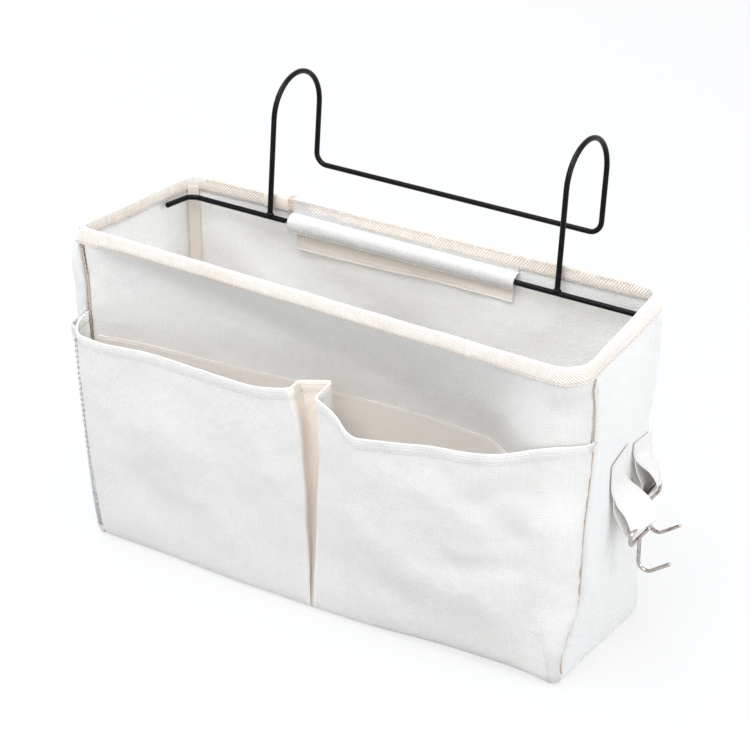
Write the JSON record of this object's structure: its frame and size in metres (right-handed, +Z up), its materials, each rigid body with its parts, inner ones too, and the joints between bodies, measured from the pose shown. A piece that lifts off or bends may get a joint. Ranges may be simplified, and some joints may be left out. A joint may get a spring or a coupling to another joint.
{
  "type": "bedside caddy",
  "caption": "Open canvas box bag with pleated front pockets, a net side pocket, small side hooks and a folding bent-wire hanger that goes over a bed rail.",
  "frame": {"origin": "on the underside of the base, in the middle of the rim's width and depth", "axes": "+X along the width towards the side with the hooks, +Y towards the back where the rail is, +Z up"},
  "size_m": [0.451, 0.2183, 0.3362],
  "materials": {
    "canvas": "plain-woven off-white canvas",
    "tape": "twill binding tape",
    "net": "open white mesh",
    "board": "stiff board",
    "strip": "beige hook-and-loop strip",
    "black_wire": "black semi-gloss coating",
    "nickel": "bright nickel plating"
  },
  "bodies": {
    "bag": {"front_panel": "canvas", "back_panel": "canvas", "left_side_panel": "canvas", "right_side_panel": "canvas", "base_panel": "canvas", "base_board": "board", "rim_binding": "tape", "corner_tape_front_left": "tape", "corner_tape_back_left": "tape", "corner_tape_front_right": "tape", "corner_tape_back_right": "tape", "pocket_backing": "canvas", "front_pocket_panel": "canvas", "net_face": "net", "net_top_hem": "tape", "net_front_gusset": "net", "net_back_gusset": "net", "net_bottom_hem": "tape", "side_tab_front": "canvas", "side_tab_back": "canvas", "wall_hook_strip": "strip"},
    "hanger": {"hanger_lower_bar": "black_wire", "hanger_end_left": "black_wire", "hanger_end_right": "black_wire", "hanger_hook_wire": "black_wire", "hanger_weld_left": "black_wire", "hanger_weld_right": "black_wire"},
    "flap": {"bar_flap": "canvas", "flap_loop_strip": "strip"},
    "hook_front": {"side_hook_front": "nickel"},
    "hook_back": {"side_hook_back": "nickel"}
  },
  "joints": [
    {"name": "hanger_fold", "type": "hinge", "parent": "bag", "child": "hanger", "pos_m": [0, 0.05734, 0.234], "axis": [1, 0, 0], "range_deg": [0, 95]},
    {"name": "flap_open", "type": "hinge", "parent": "bag", "child": "flap", "pos_m": [-0.008, 0.061, 0.2375], "axis": [-1, 0, 0], "range_deg": [0, 90]},
    {"name": "hook_front_swing", "type": "hinge", "parent": "bag", "child": "hook_front", "pos_m": [0.2138, 0.014, 0.10079], "axis": [0, -1, 0], "range_deg": [0, 80]},
    {"name": "hook_back_swing", "type": "hinge", "parent": "bag", "child": "hook_back", "pos_m": [0.20431, 0.048, 0.11122], "axis": [0, -1, 0], "range_deg": [0, 80]}
  ]
}
